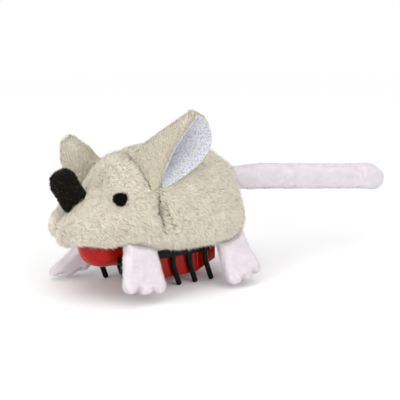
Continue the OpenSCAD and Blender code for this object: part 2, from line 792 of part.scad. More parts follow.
// One face of a paw, at distance d in front of its middle
function paw_face(place, d) =
    let (
        down = unit(place[1]),
        across = unit(place[2]),
        out = unit(cross(across, down)),
        root = [sign(place[1][0]) * paw_x, body_y(place[0]), body_bottom(place[0])] + out * d,
        edge = [for (i = [4:-1:-4]) landed(root + across * i * paw_root_w / 8, down)],
        low = [for (i = [0:toe_count - 1]) each toe_arc(i)]
    )
    concat(edge, [for (p = low) root + across * p[0] + down * p[1] * place[3]]);

module paw(place) loft([paw_face(place, -paw_t / 2), paw_face(place, paw_t / 2)]);

module front_left_paw() color("#efe3ea") paw(front_left);

module front_right_paw() color("#efe3ea") paw(front_right);

module rear_left_paw() color("#efe3ea") paw(rear_left);

module rear_right_paw() color("#efe3ea") paw(rear_right);

// Stuffed tube with a round end, its root cut to the plush
module tail() color("#f0e4ec") {
    way = [0, cos(tail_drop), -sin(tail_drop)];
    rise = [0, sin(tail_drop), cos(tail_drop)];
    root = [0, tail_root_y, tail_root_z];
    round_l = tail_w / 2;
    section = [for (i = [0:tail_n - 1]) let (a = -360 * i / tail_n)
        [tail_t / 2 * power(cos(a), 0.8), 0, tail_w / 2 * power(sin(a), 0.9)]];
    loft(concat(
        [for (part = [0.1, 0.4, 0.7, 1])
            [for (p = section) landed(root + ([p[0], 0, 0] + rise * p[2]) * part, way)]],
        [for (a = [0, 20, 40, 58, 72, 82]) let (l = tail_l - round_l + round_l * sin(a))
            [for (p = section) root + way * l + ([p[0], 0, 0] + rise * p[2]) * cos(a)]]));
}

// Places of grid points in the cover's list, outer surface first
function at_outer(k, i) = k * ring_n + (i + ring_n) % ring_n;
function at_inner(k, i) =
    (last_ring + 1 + k - inner_first) * ring_n + (i + ring_n) % ring_n;
function is_open(k, i) =
    k >= open_first && k < open_last && (i < open_cells || i >= ring_n - open_cells);

// The plush is one skin: an outer and an inner surface that meet round the belly opening
module plush_cover() color("#d9d2bf") {
    inner = [inner_first, last_ring - inner_first];
    n = ring_n;
    points = concat(
        [for (k = [0:last_ring]) each ring(k)],
        [for (k = [inner[0]:inner[1]]) each ring(k, plush_t)]);
    outer_faces = [for (k = [0:last_ring - 1], i = [0:n - 1]) if (!is_open(k, i))
        let (a = at_outer(k, i), b = at_outer(k, i + 1), c = at_outer(k + 1, i + 1),
             d = at_outer(k + 1, i))
        each [[a, b, c], [a, c, d]]];
    inner_faces = [for (k = [inner[0]:inner[1] - 1], i = [0:n - 1]) if (!is_open(k, i))
        let (a = at_inner(k, i), b = at_inner(k, i + 1), c = at_inner(k + 1, i + 1),
             d = at_inner(k + 1, i))
        each [[a, c, b], [a, d, c]]];
    // walls along the two sides and the two ends of the opening
    side_walls = [for (k = [open_first:open_last - 1])
        let (i = open_cells, a = at_outer(k, i), b = at_outer(k + 1, i), c = at_inner(k + 1, i),
             d = at_inner(k, i), e = at_outer(k, -i), f = at_outer(k + 1, -i),
             g = at_inner(k + 1, -i), h = at_inner(k, -i))
        each [[a, b, c], [a, c, d], [e, g, f], [e, h, g]]];
    end_walls = [for (i = [-open_cells:open_cells - 1])
        let (k = open_first, l = open_last, a = at_outer(k, i), b = at_outer(k, i + 1),
             c = at_inner(k, i + 1), d = at_inner(k, i), e = at_outer(l, i),
             f = at_outer(l, i + 1), g = at_inner(l, i + 1), h = at_inner(l, i))
        each [[a, b, c], [a, c, d], [e, g, f], [e, h, g]]];
    caps = [
        [for (i = [0:n - 1]) at_outer(0, n - 1 - i)], [for (i = [0:n - 1]) at_outer(last_ring, i)],
        [for (i = [0:n - 1]) at_inner(inner[0], i)],
        [for (i = [0:n - 1]) at_inner(inner[1], n - 1 - i)]
    ];
    polyhedron(points = points,
               faces = concat(outer_faces, inner_faces, side_walls, end_walls, caps));
}

// Woven panel that closes the belly round the drive, laid on the turned-in hem
module belly_panel() color("#c9c2b2") {
    run = [for (k = [open_first - 1:open_last + 1]) shares[k]];
    last = len(run) - 1;
    under = [for (s = run) [body_y(s), panel_z(s)]];
    difference() {
        intersection() {
            rotate([90, 0, 90]) linear_extrude(2 * cover_w, center = true) polygon(concat(
                under, [for (i = [last:-1:0]) under[i] + [0, belly_t]]));
            linear_extrude(2 * cover_h) polygon(concat(panel_half, flipped(panel_half)));
        }
        translate([0, 0, axis_z]) long_pill(drive_l + 2 * fabric_gap, drive_w + 2 * fabric_gap,
                                            capsule_h + 2 * fabric_gap);
    }
}

// Fibre filling over the belly panel and the drive, between two shares of the body
module filling(from, to) {
    steps = 10;
    inset = plush_t + seat_gap;
    side = drive_w / 2 + 3 * fabric_gap;
    loft([for (k = [0:steps])
        let (
            s = from + (to - from) * k / steps,
            floor_z = panel_z(s) + belly_t + 2 * fabric_gap,
            over = abs(body_y(s)) < drive_l / 2 + 2 ? capsule_top + 3 * fabric_gap : floor_z,
            top_z = max(floor_z + fabric_gap, over),
            wall_x = skin(s, -40, inset)[0]
        )
        concat(
            [[side, body_y(s), top_z], [side, body_y(s), floor_z], [wall_x, body_y(s), floor_z]],
            [for (a = [0:15:180]) skin(s, a, inset)],
            [[-wall_x, body_y(s), floor_z], [-side, body_y(s), floor_z],
             [-side, body_y(s), top_z]])]);
}

module head_filling() color("#f2efe6") filling(0.17, seam_share - 0.002);

module rump_filling() color("#f2efe6") filling(seam_share + 0.002, 0.86);

// Moves the drive's frame to the part's own frame
module at_origin() {
    translate([0, -mid_y, 0]) children();
}

at_origin() plush_cover();
at_origin() belly_panel();
at_origin() head_filling();
at_origin() rump_filling();
at_origin() left_ear_outer();
at_origin() right_ear_outer();
at_origin() left_ear_lining();
at_origin() right_ear_lining();
at_origin() nose_tab();
at_origin() left_eye();
at_origin() right_eye();
at_origin() front_left_paw();
at_origin() front_right_paw();
at_origin() rear_left_paw();
at_origin() rear_right_paw();
at_origin() tail();
at_origin() chassis();
at_origin() upper_shell();
at_origin() left_leg_strip();
at_origin() right_leg_strip();
at_origin() motor_can();
at_origin() motor_end_cap();
at_origin() motor_shaft();
at_origin() eccentric_weight();
at_origin() circuit_board();
at_origin() switch_body();
at_origin() switch_knob();
at_origin() button_cell();
at_origin() positive_contact();
at_origin() negative_contact();
at_origin() battery_door();
at_origin() door_screw();
at_origin() case_screws();
at_origin() motor_lead_red();
at_origin() motor_lead_black();
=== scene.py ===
import math

import bpy
import numpy as np
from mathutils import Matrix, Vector
from mathutils.bvhtree import BVHTree


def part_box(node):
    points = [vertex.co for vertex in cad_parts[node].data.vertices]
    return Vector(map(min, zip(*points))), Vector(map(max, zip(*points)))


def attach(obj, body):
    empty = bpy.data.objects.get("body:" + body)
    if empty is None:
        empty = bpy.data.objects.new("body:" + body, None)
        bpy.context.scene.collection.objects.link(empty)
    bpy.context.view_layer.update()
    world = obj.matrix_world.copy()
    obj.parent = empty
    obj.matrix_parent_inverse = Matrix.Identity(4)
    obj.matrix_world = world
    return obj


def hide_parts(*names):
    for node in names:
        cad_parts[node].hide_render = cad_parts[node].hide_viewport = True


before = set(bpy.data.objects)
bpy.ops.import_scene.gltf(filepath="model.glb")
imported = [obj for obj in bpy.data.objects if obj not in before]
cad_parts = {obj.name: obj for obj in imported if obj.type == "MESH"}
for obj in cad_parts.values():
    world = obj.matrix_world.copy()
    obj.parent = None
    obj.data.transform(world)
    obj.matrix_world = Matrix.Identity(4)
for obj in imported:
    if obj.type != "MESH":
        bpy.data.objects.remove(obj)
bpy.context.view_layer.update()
mm = 0.001


def linear(hexColour):
    # sRGB hex value to linear red, green, blue and alpha
    values = [int(hexColour[i : i + 2], 16) / 255 for i in (1, 3, 5)]
    return [v / 12.92 if v <= 0.04045 else ((v + 0.055) / 1.055) ** 2.4 for v in values] + [1]


def middle(node):
    low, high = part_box(node)
    return (Vector(low) + Vector(high)) / 2


driveMiddle = middle("upper_shell")
driveOffset = np.array([0, driveMiddle.y, 0])  # places below are given from the drive's middle
coverLow, coverHigh = (Vector(v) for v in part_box("plush_cover"))
noseMiddle = middle("nose_tab")


def bell(distance, width):
    # 1 at no distance, falling smoothly to 0
    return np.exp(-((distance / width) ** 2))


def hashed(ix, iy, iz, seed):
    # repeatable random value from -1 to 1 for a cell of a grid, by mixing the bits of its place
    h = (ix * 374761393 + iy * 668265263 + iz * 1442695041 + seed * 974634541) & 0xFFFFFFFF
    h = ((h ^ (h >> 13)) * 1274126177) & 0xFFFFFFFF
    return ((h ^ (h >> 16)) & 0xFFFF) / 32767.5 - 1


def lumps(places, size, seed):
    # smooth random value from -1 to 1, with bumps about size across
    q = places / size
    cell = np.floor(q).astype(np.int64)
    f = q - cell
    f = f * f * (3 - 2 * f)
    total = np.zeros(len(places))
    for dx in (0, 1):
        for dy in (0, 1):
            for dz in (0, 1):
                weight = np.ones(len(places))
                for axis, d in enumerate((dx, dy, dz)):
                    weight = weight * (f[:, axis] if d else 1 - f[:, axis])
                total += weight * hashed(cell[:, 0] + dx, cell[:, 1] + dy, cell[:, 2] + dz, seed)
    return total


def points(piece):
    values = np.empty(len(piece.data.vertices) * 3)
    piece.data.vertices.foreach_get("co", values)
    return values.reshape(-1, 3)


def normals(piece):
    values = np.empty(len(piece.data.vertices) * 3)
    piece.data.vertices.foreach_get("normal", values)
    return values.reshape(-1, 3)


def movePoints(piece, places):
    piece.data.vertices.foreach_set("co", places.ravel())
    piece.data.update()


def unit(vectors):
    return vectors / np.maximum(np.linalg.norm(vectors, axis=1, keepdims=True), 1e-12)


def addPiece(name, mesh, body="mouse"):
    piece = bpy.data.objects.new(name, mesh)
    bpy.context.collection.objects.link(piece)
    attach(piece, body)
    return piece


def meshOf(name, places, faces):
    # faces all have as many corners
    mesh = bpy.data.meshes.new(name)
    mesh.vertices.add(len(places))
    mesh.vertices.foreach_set("co", np.ascontiguousarray(places).ravel())
    mesh.loops.add(faces.size)
    mesh.loops.foreach_set("vertex_index", faces.ravel().astype(np.int32))
    mesh.polygons.add(len(faces))
    mesh.polygons.foreach_set("loop_start", np.arange(0, faces.size, faces.shape[1], dtype=np.int32))
    mesh.update(calc_edges=True)
    mesh.shade_smooth()
    return mesh


def applyAll(piece):
    view = bpy.context.evaluated_depsgraph_get()
    mesh = bpy.data.meshes.new_from_object(piece.evaluated_get(view))
    piece.modifiers.clear()
    piece.data = mesh
    mesh.shade_smooth()


def softCopy(name, node, voxel, rounds):
    # rounded, evenly meshed copy of a CAD solid
    piece = addPiece(name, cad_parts[node].data.copy())
    piece.data.materials.clear()
    remesh = piece.modifiers.new("remesh", "REMESH")
    remesh.mode = "VOXEL"
    remesh.voxel_size = voxel * mm
    smooth = piece.modifiers.new("smooth", "SMOOTH")
    smooth.iterations = rounds
    smooth.factor = 0.5
    applyAll(piece)
    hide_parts(node)
    return piece


def touchUp(piece, touches):
    # last touches: where, how far around and how far the form is pulled, in millimetres
    p = points(piece)
    moved = p.copy()
    for place, around, pull in touches.get(piece.name, []):
        away = np.linalg.norm(p - np.array(place) * mm - driveOffset, axis=1)
        moved += bell(away, around * mm)[:, None] * np.array(pull) * mm
    movePoints(piece, moved)


def ripple(piece, height, size, seed, swell=0):
    # unevenness along the normals, and an even swell, in millimetres
    p, n = points(piece), normals(piece)
    movePoints(piece, p + n * ((swell + height * lumps(p, size * mm, seed)) * mm)[:, None])


def inflate(piece, pressure, cap, keep):
    # cloth filled from inside; it keeps its seam on the body and most of its outline
    scale = 25  # the solver works well on a piece of this many times the size
    steps = 20
    seamReach = 3 * mm
    start = points(piece)
    centre = start.mean(axis=0)
    work = bpy.data.objects.new("work", piece.data.copy())
    bpy.context.collection.objects.link(work)
    movePoints(work, (start - centre) * scale)
    cloth = work.modifiers.new("cloth", "CLOTH")
    cloth.settings.quality = 6
    cloth.settings.use_pressure = True
    cloth.settings.uniform_pressure_force = pressure
    cloth.settings.effector_weights.gravity = 0
    scene = bpy.context.scene
    for number in range(1, steps + 1):
        scene.frame_set(number)
    applyAll(work)
    move = points(work) / scale + centre - start
    thin = np.linalg.svd(start[::7] - centre, full_matrices=False)[2][2]
    puff = (move @ thin)[:, None] * thin
    move = puff + (1 - keep) * (move - puff)
    length = np.linalg.norm(move, axis=1, keepdims=True)
    move *= np.minimum(1, cap * mm / np.maximum(length, 1e-9))
    move *= np.array([min(skinTree.find_nearest(Vector(p))[3] / seamReach, 1) for p in start])[:, None]
    movePoints(piece, start + move)
    bpy.data.objects.remove(work)
    scene.frame_set(1)


def addNode(tree, kind, links=(), feeds=(), stops=(), **values):
    # links: (input of the new node, output); feeds: (output of the new node, input);
    # stops: (place, colour) on a colour ramp; values: attributes, or inputs by name
    node = tree.nodes.new(kind)
    for key, value in values.items():
        if hasattr(node, key):
            setattr(node, key, value)
        else:
            node.inputs[key].default_value = value
    for i, (position, colour) in enumerate(stops):
        elements = node.color_ramp.elements
        element = elements[i] if i < len(elements) else elements.new(position)
        element.position = position
        element.color = linear(colour)
    for socket, source in links:
        tree.links.new(source, node.inputs[socket])
    for socket, target in feeds:
        tree.links.new(node.outputs[socket], target)
    return node


def newMaterial(name, finish):
    # finish: inputs of the shader by name
    material = bpy.data.materials.new(name)
    material.use_nodes = True
    tree = material.node_tree
    shader = tree.nodes["Principled BSDF"]
    for socket, value in finish.items():
        shader.inputs[socket].default_value = value
    place = addNode(tree, "ShaderNodeTexCoord").outputs["Object"]
    return material, tree, shader, place


def scaleFor(size):
    # scale of a texture whose pattern is this many millimetres
    return 1 / (size * mm)


def pileMaterial(name, dark, light):
    # polyester plush, cut long and combed: cream and matt, with light caught along the tips
    material, tree, shader, place = newMaterial(name, {
        "Roughness": 0.85, "Specular IOR Level": 0.2, "Sheen Weight": 0.6, "Sheen Roughness": 0.5,
        "Sheen Tint": (1, 0.97, 0.9, 1)})
    mottle = addNode(tree, "ShaderNodeTexNoise", [("Vector", place)],
                     Scale=scaleFor(2.2), Detail=4, Roughness=0.6)
    addNode(tree, "ShaderNodeValToRGB", [("Fac", mottle.outputs["Fac"])],
            [("Color", shader.inputs["Base Color"])], [(0.35, dark), (0.62, light)])
    return material


def shadedBackingMaterial():
    # knitted polyester backing, coarser than the pile, coloured darker as painted shade where the pile
    # parts
    material, tree, shader, place = newMaterial("plushBackingShaded", {"Roughness": 0.95})
    stitches = addNode(tree, "ShaderNodeTexNoise", [("Vector", place)],
                       Scale=scaleFor(0.5), Detail=3, Roughness=0.6)
    addNode(tree, "ShaderNodeValToRGB", [("Fac", stitches.outputs["Fac"])],
            [("Color", shader.inputs["Base Color"])], [(0.3, "#a59d86"), (0.7, "#cbc3ae")])
    addNode(tree, "ShaderNodeBump", [("Height", stitches.outputs["Fac"])],
            [("Normal", shader.inputs["Normal"])], Distance=0.3 * mm, Strength=1)
    return material


def liningMaterial():
    # woven polyester printed with foil flecks: pale grey with small dark glinting specks
    material, tree, shader, place = newMaterial("glitterLining", {"Roughness": 0.55, "Sheen Weight": 0.2})
    flecks = addNode(tree, "ShaderNodeTexVoronoi", [("Vector", place)],
                     feature="F1", Scale=scaleFor(0.44))
    tone = addNode(tree, "ShaderNodeSeparateColor", [("Color", flecks.outputs["Color"])])
    foil = addNode(tree, "ShaderNodeValToRGB", [("Fac", tone.outputs["Red"])],
                   stops=[(0.4, "#575669"), (0.65, "#7c7b8e"), (0.9, "#b9b8c2")])
    near = addNode(tree, "ShaderNodeValToRGB", [("Fac", flecks.outputs["Distance"])],
                   stops=[(0.22, "#ffffff"), (0.42, "#000000")])
    threads = addNode(tree, "ShaderNodeTexNoise", [("Vector", place)],
                      Scale=scaleFor(0.45), Detail=3, Roughness=0.6)
    cloth = addNode(tree, "ShaderNodeValToRGB", [("Fac", threads.outputs["Fac"])],
                    stops=[(0.3, "#bfc1c7"), (0.7, "#d4d6da")])
    addNode(tree, "ShaderNodeMix",
            [(0, near.outputs["Color"]), (6, cloth.outputs["Color"]), (7, foil.outputs["Color"])],
            [(2, shader.inputs["Base Color"])], data_type="RGBA")
    weave = addNode(tree, "ShaderNodeTexNoise", [("Vector", place)],
                    Scale=scaleFor(0.35), Detail=3, Roughness=0.6)
    addNode(tree, "ShaderNodeBump", [("Height", weave.outputs["Fac"])],
            [("Normal", shader.inputs["Normal"])], Distance=0.12 * mm, Strength=1)
    return material


def feltMaterial(name, tones):
    # pressed wool felt: deep black that swallows light, with a few grey fibres
    material, tree, shader, place = newMaterial(name, {"Roughness": 0.95, "Specular IOR Level": 0.1})
    fibres = addNode(tree, "ShaderNodeTexNoise", [("Vector", place)],
                     Scale=scaleFor(0.4), Detail=5, Roughness=0.7)
    addNode(tree, "ShaderNodeValToRGB", [("Fac", fibres.outputs["Fac"])],
            [("Color", shader.inputs["Base Color"])], list(zip((0.35, 0.6, 0.78), tones)))
    addNode(tree, "ShaderNodeBump", [("Height", fibres.outputs["Fac"])],
            [("Normal", shader.inputs["Normal"])], Distance=0.25 * mm, Strength=1)
    return material


def fleeceMaterial():
    # brushed polyester fleece: pale pink, matt and soft at the edge
    material, tree, shader, place = newMaterial("pinkFleece", {
        "Roughness": 0.9, "Sheen Weight": 0.4, "Subsurface Weight": 0.15,
        "Subsurface Radius": (0.0012, 0.0008, 0.0008)})
    mottle = addNode(tree, "ShaderNodeTexNoise", [("Vector", place)],
                     Scale=scaleFor(2.6), Detail=4, Roughness=0.6)
    addNode(tree, "ShaderNodeValToRGB", [("Fac", mottle.outputs["Fac"])],
            [("Color", shader.inputs["Base Color"])], [(0.3, "#ddd5da"), (0.7, "#e7dfe4")])
    nap = addNode(tree, "ShaderNodeTexNoise", [("Vector", place)],
                  Scale=scaleFor(0.3), Detail=4, Roughness=0.6)
    addNode(tree, "ShaderNodeBump", [("Height", nap.outputs["Fac"])],
            [("Normal", shader.inputs["Normal"])], Distance=0.1 * mm, Strength=1)
    return material


def wovenMaterial():
    # plain-woven cotton, drawn at a 0.9 mm thread spacing so that it shows: a fine even grid
    material, tree, shader, place = newMaterial("wovenCotton", {"Roughness": 0.9})
    weave = addNode(tree, "ShaderNodeMath", operation="MAXIMUM")
    for i, direction in enumerate(("X", "Y")):
        addNode(tree, "ShaderNodeTexWave", [("Vector", place)], [("Fac", weave.inputs[i])],
                bands_direction=direction, Scale=scaleFor(0.9), Distortion=0.6)
    addNode(tree, "ShaderNodeValToRGB", [("Fac", weave.outputs[0])],
            [("Color", shader.inputs["Base Color"])], [(0.2, "#9d9583"), (0.8, "#cfc8b7")])
    addNode(tree, "ShaderNodeBump", [("Height", weave.outputs[0])],
            [("Normal", shader.inputs["Normal"])], Distance=0.12 * mm, Strength=1)
    return material


def mouldedMaterial(name, dark, light, roughness, grain, shine=0.5):
    # plastic, rubber or resin from a mould: even colour, a clear highlight and the mould's faint ripple
    material, tree, shader, place = newMaterial(name, {"Roughness": roughness, "Specular IOR Level": shine})
    cloud = addNode(tree, "ShaderNodeTexNoise", [("Vector", place)],
                    Scale=scaleFor(6), Detail=3, Roughness=0.6)
    addNode(tree, "ShaderNodeValToRGB", [("Fac", cloud.outputs["Fac"])],
            [("Color", shader.inputs["Base Color"])], [(0.3, dark), (0.7, light)])
    skin = addNode(tree, "ShaderNodeTexNoise", [("Vector", place)],
                   Scale=scaleFor(grain), Detail=2, Roughness=0.6)
    addNode(tree, "ShaderNodeBump", [("Height", skin.outputs["Fac"])],
            [("Normal", shader.inputs["Normal"])], Distance=0.02 * mm, Strength=1)
    return material


def metalMaterial(name, dark, light, roughness):
    # drawn or stamped metal: fine lines along the draw, soft reflections
    material, tree, shader, place = newMaterial(name, {"Metallic": 1, "Roughness": roughness})
    stretch = addNode(tree, "ShaderNodeMapping", [("Vector", place)], Scale=(1, 1, 12))
    lines = addNode(tree, "ShaderNodeTexNoise", [("Vector", stretch.outputs["Vector"])],
                    Scale=scaleFor(0.8), Detail=3, Roughness=0.6)
    addNode(tree, "ShaderNodeValToRGB", [("Fac", lines.outputs["Fac"])],
            [("Color", shader.inputs["Base Color"])], [(0.3, dark), (0.7, light)])
    addNode(tree, "ShaderNodeBump", [("Height", lines.outputs["Fac"])],
            [("Normal", shader.inputs["Normal"])], Distance=0.01 * mm, Strength=1)
    return material


def triangles(piece):
    mesh = piece.data
    mesh.calc_loop_triangles()
    corners = np.empty(len(mesh.loop_triangles) * 3, dtype=np.int32)
    mesh.loop_triangles.foreach_get("vertices", corners)
    return corners.reshape(-1, 3)


def scatter(piece, count, wanted, seed):
    # random places on a mesh, as many per area as wanted(places, normals) asks
    rng = np.random.default_rng(seed)
    places, ups, corners = points(piece), normals(piece), triangles(piece)
    a, b, c = (places[corners[:, i]] for i in range(3))
    area = np.linalg.norm(np.cross(b - a, c - a), axis=1) / 2
    share = area * wanted((a + b + c) / 3, unit(ups[corners].sum(axis=1)))
    chosen = rng.choice(len(area), size=count, p=share / share.sum())
    s, t = rng.random(count), rng.random(count)
    fold = s + t > 1
    s[fold], t[fold] = 1 - s[fold], 1 - t[fold]
    weights = np.stack([1 - s - t, s, t], axis=1)[:, :, None]
    picked = corners[chosen]
    return (places[picked] * weights).sum(axis=1), unit((ups[picked] * weights).sum(axis=1))


def everywhere(places, ups):
    return np.ones(len(places))


# length, width and clump in millimetres; lift, spread and strayLift in degrees; shares of all locks
pile = {"length": 2.1, "width": 0.17, "lift": 13, "spread": 19, "clump": 2.4, "strays": 0.1,
        "strayLift": 30, "darkShare": 0.06, "dullShare": 0.3}


def growLocks(name, roots, ups, flow, length, width, lift, spread, tones, seed, shade=0):
    # bent tapering locks of fibre; lift is the angle off the skin, length may differ per lock, and
    # shade is the share of locks given the last tone, a darker tone that is painted shade
    rng = np.random.default_rng(seed)
    count = len(roots)
    flow = unit(flow - (flow * ups).sum(axis=1, keepdims=True) * ups)
    side = np.cross(ups, flow)
    turn = np.radians(spread) * (rng.normal(size=count) * 0.5 + lumps(roots, pile["clump"] * mm, seed))
    ahead = flow * np.cos(turn)[:, None] + side * np.sin(turn)[:, None]
    across = np.cross(ups, ahead)
    tilt = np.radians(lift * (1 + 0.45 * rng.normal(size=count)).clip(0.3, 2.0))
    tilt[rng.random(count) < pile["strays"]] += math.radians(pile["strayLift"])
    luck = rng.random(count)
    tone = (luck < pile["darkShare"]).astype(np.int32) + (luck < pile["darkShare"] + pile["dullShare"])
    tone[rng.random(count) < shade] = len(tones) - 1
    way = ahead * np.cos(tilt)[:, None] + ups * np.sin(tilt)[:, None]
    # each lock starts steeply, bends over halfway and droops to its tip
    start = unit(way + 0.9 * ups)
    length = (length * (0.75 + 0.5 * rng.random(count)))[:, None]
    bend = roots + start * length * 0.5
    tip = bend + unit(way - 0.25 * ups) * length * 0.55
    thick = unit(np.cross(across, way))
    sunk = roots - ups * 0.2 * mm
    rings = []
    for place, size in ((sunk, 0.5), (bend, 0.42)):
        for angle in (90, 210, 330):
            a = math.radians(angle)
            offset = across * math.cos(a) + thick * math.sin(a)
            rings.append(place + offset * (width * size))
    places = np.stack(rings + [tip], axis=1)
    corners = places.shape[1]
    pattern = np.array([[0, 1, 4], [0, 4, 3], [1, 2, 5], [1, 5, 4], [2, 0, 3], [2, 3, 5],
                        [3, 4, 6], [4, 5, 6], [5, 3, 6]])
    perPiece = 20000
    for first in range(0, count, perPiece):
        part = places[first : first + perPiece]
        base = np.arange(len(part))[:, None, None] * corners
        faces = (base + pattern[None]).reshape(-1, 3)
        label = name if count <= perPiece else name + str(first // perPiece + 1)
        lock = addPiece(label, meshOf(label, part.reshape(-1, 3), faces))
        for material in tones:
            lock.data.materials.append(material)
        index = np.repeat(tone[first : first + perPiece], len(pattern)) % len(tones)
        lock.data.polygons.foreach_set("material_index", index.astype(np.int32))


def growFuzz(name, piece, hairs, length, width, lift, tones, seed):
    # short fibres in every direction; length and width in millimetres
    roots, ups = scatter(piece, hairs, everywhere, seed)
    flow = np.random.default_rng(seed + 1).normal(size=roots.shape)
    growLocks(name, roots, ups, flow, length * mm, width * mm, lift, 40, tones, seed + 2)


# lengths in millimetres, places from the drive's middle; rounds of smoothing, number of locks
cover = {
    "voxel": 0.6, "rounds": 10, "locks": 150000,
    "under": 0.8, "lump": 0.45, "lumpSize": 9, "dimple": 0.18, "dimpleSize": 3.4,
    "seamDepth": 1.5, "seamWidth": 1.0, "pucker": 0.3, "puckerStep": 1.1, "puckerReach": 2.2,
    "cleftDepth": 1.7, "cleftWidth": 1.3, "cheek": 0.35, "cheekPlace": 4, "cheekWidth": 2.4,
    "snoutReach": 3, "halfWidth": 17, "hemReach": 1.5, "sideDroop": 0.5, "hemDroop": 0.9,
    # where the seam between head and body runs, and the fold behind it: heights and places along
    "seam": ((13, 17.5, 21.5, 28, 31, 41), (0.6, -0.6, -3.4, -3.8, -3.7, -6.5)),
    "fold": ((13, 21.5, 25.7, 28.9, 31, 41), (0.8, -0.4, -1.7, -1.9, -3.2, -6.5)),
    # they part the pile round one height, over a reach, and wander; the bare slits are ragged
    "partHeight": 26.3, "partReach": 4.2, "wander": 0.4, "wanderSize": 1.4,
    "seamSlit": 0.3, "foldSlit": -0.05, "slitRagged": 0.8, "slitRaggedSize": 1.3,
    # width of the painted shade in the pile along them, and the share of locks painted dark there
    "seamShadeWidth": 0.9, "foldShadeWidth": 0.7, "seamShade": 0.5, "foldShade": 0.22, "headFoldShade": 0.7,
    # short folds of the head: from, to, depth and width
    "headFolds": [((3.3, -16.7, 31.6), (2.2, -14.5, 35.4), 1.4, 0.8),
                  ((5.5, -12.5, 35.8), (3.5, -11.8, 37.4), 0.5, 0.5)],
    "touches": {"coverSkin": [
        ((0, -5.7, 40), 5, (0, 0, -0.7)), ((3, -5, 40.5), 4, (0, 0, -0.5)),
        ((4.6, 21.8, 35.5), 5, (0, -0.4, -0.6)), ((13, 24, 23.5), 4.5, (-1, -2, 0)),
        ((-13, 24, 23.5), 4.5, (1, -2, 0)), ((-4, -27.5, 22.5), 4, (0, 1.3, 0)),
        ((1.8, -28.2, 17), 3.5, (0, -0.6, -0.9))]},
}


def seamDistance(p):
    # signed distances ahead of or behind the seam and the fold, and how far they are parted there
    height = p[:, 2] / mm
    wander = cover["wander"] * mm * lumps(p, cover["wanderSize"] * mm, 2)
    parted = bell(height - cover["partHeight"], cover["partReach"])
    seamAcross, foldAcross = (p[:, 1] - driveMiddle.y - np.interp(height, *line) * mm + wander
                              for line in (cover["seam"], cover["fold"]))
    return seamAcross, foldAcross, parted


def foldDepth(p):
    depth = np.zeros(len(p))
    for start, end, deep, wide in cover["headFolds"]:
        a, b = (np.array(v) * mm + driveOffset for v in (start, end))
        along = np.clip(((p - a) @ (b - a)) / ((b - a) @ (b - a)), 0, 1)[:, None]
        away = np.linalg.norm(p - a - along * (b - a), axis=1)
        depth += deep * bell(away, wide * mm)
    return depth


def facesOut(p, n):
    # true on the outside of the cover, whose middle line rises with the back
    step = 2 * mm
    endCap = 9 * mm
    cell = ((p[:, 1] - coverLow.y) / step).astype(int).clip(0, None)
    low, high = np.full(cell.max() + 1, 1.0), np.full(cell.max() + 1, -1.0)
    np.minimum.at(low, cell, p[:, 2])
    np.maximum.at(high, cell, p[:, 2])
    middleLine = (low + high) / 2
    along = np.clip(p[:, 1], coverLow.y + endCap, coverHigh.y - endCap)
    height = middleLine[((along - coverLow.y) / step).astype(int)]
    centre = np.stack([np.zeros(len(p)), along, height], axis=1)
    return ((p - centre) * n).sum(axis=1) > 0


def sculptCover(piece):
    # the skin lies under the pile; seams pull in, the filling makes lumps
    p, n = points(piece), normals(piece)
    x, y = p[:, 0], p[:, 1]
    outward = facesOut(p, n).astype(float)
    across, behind, parted = seamDistance(p)
    # the seam shows faintly all round, and the fold is a weaker and narrower one
    groove = bell(across, cover["seamWidth"] * mm) * (0.1 + parted)
    groove += 0.6 * bell(behind, 0.6 * cover["seamWidth"] * mm) * parted
    puckers = cover["pucker"] * np.sin(p[:, 2] / (cover["puckerStep"] * mm))
    puckers = puckers * np.exp(-np.abs(across) / (cover["puckerReach"] * mm)) * (0.3 + parted)
    snout = np.clip((noseMiddle.y - y) / (cover["snoutReach"] * mm), 0, 1)
    crease = bell(x, cover["cleftWidth"] * mm) * snout
    cheeks = bell(np.abs(x) - cover["cheekPlace"] * mm, cover["cheekWidth"] * mm) * snout
    swell = cover["lump"] * lumps(p, cover["lumpSize"] * mm, 3)
    swell += cover["dimple"] * lumps(p, cover["dimpleSize"] * mm, 5)
    rise = -cover["under"] - cover["seamDepth"] * groove + puckers + cover["cheek"] * cheeks + swell
    p = p + n * ((rise - foldDepth(p)) * outward * mm)[:, None]
    p[:, 1] += cover["cleftDepth"] * crease * outward * mm
    movePoints(piece, p)
    touchUp(piece, cover["touches"])


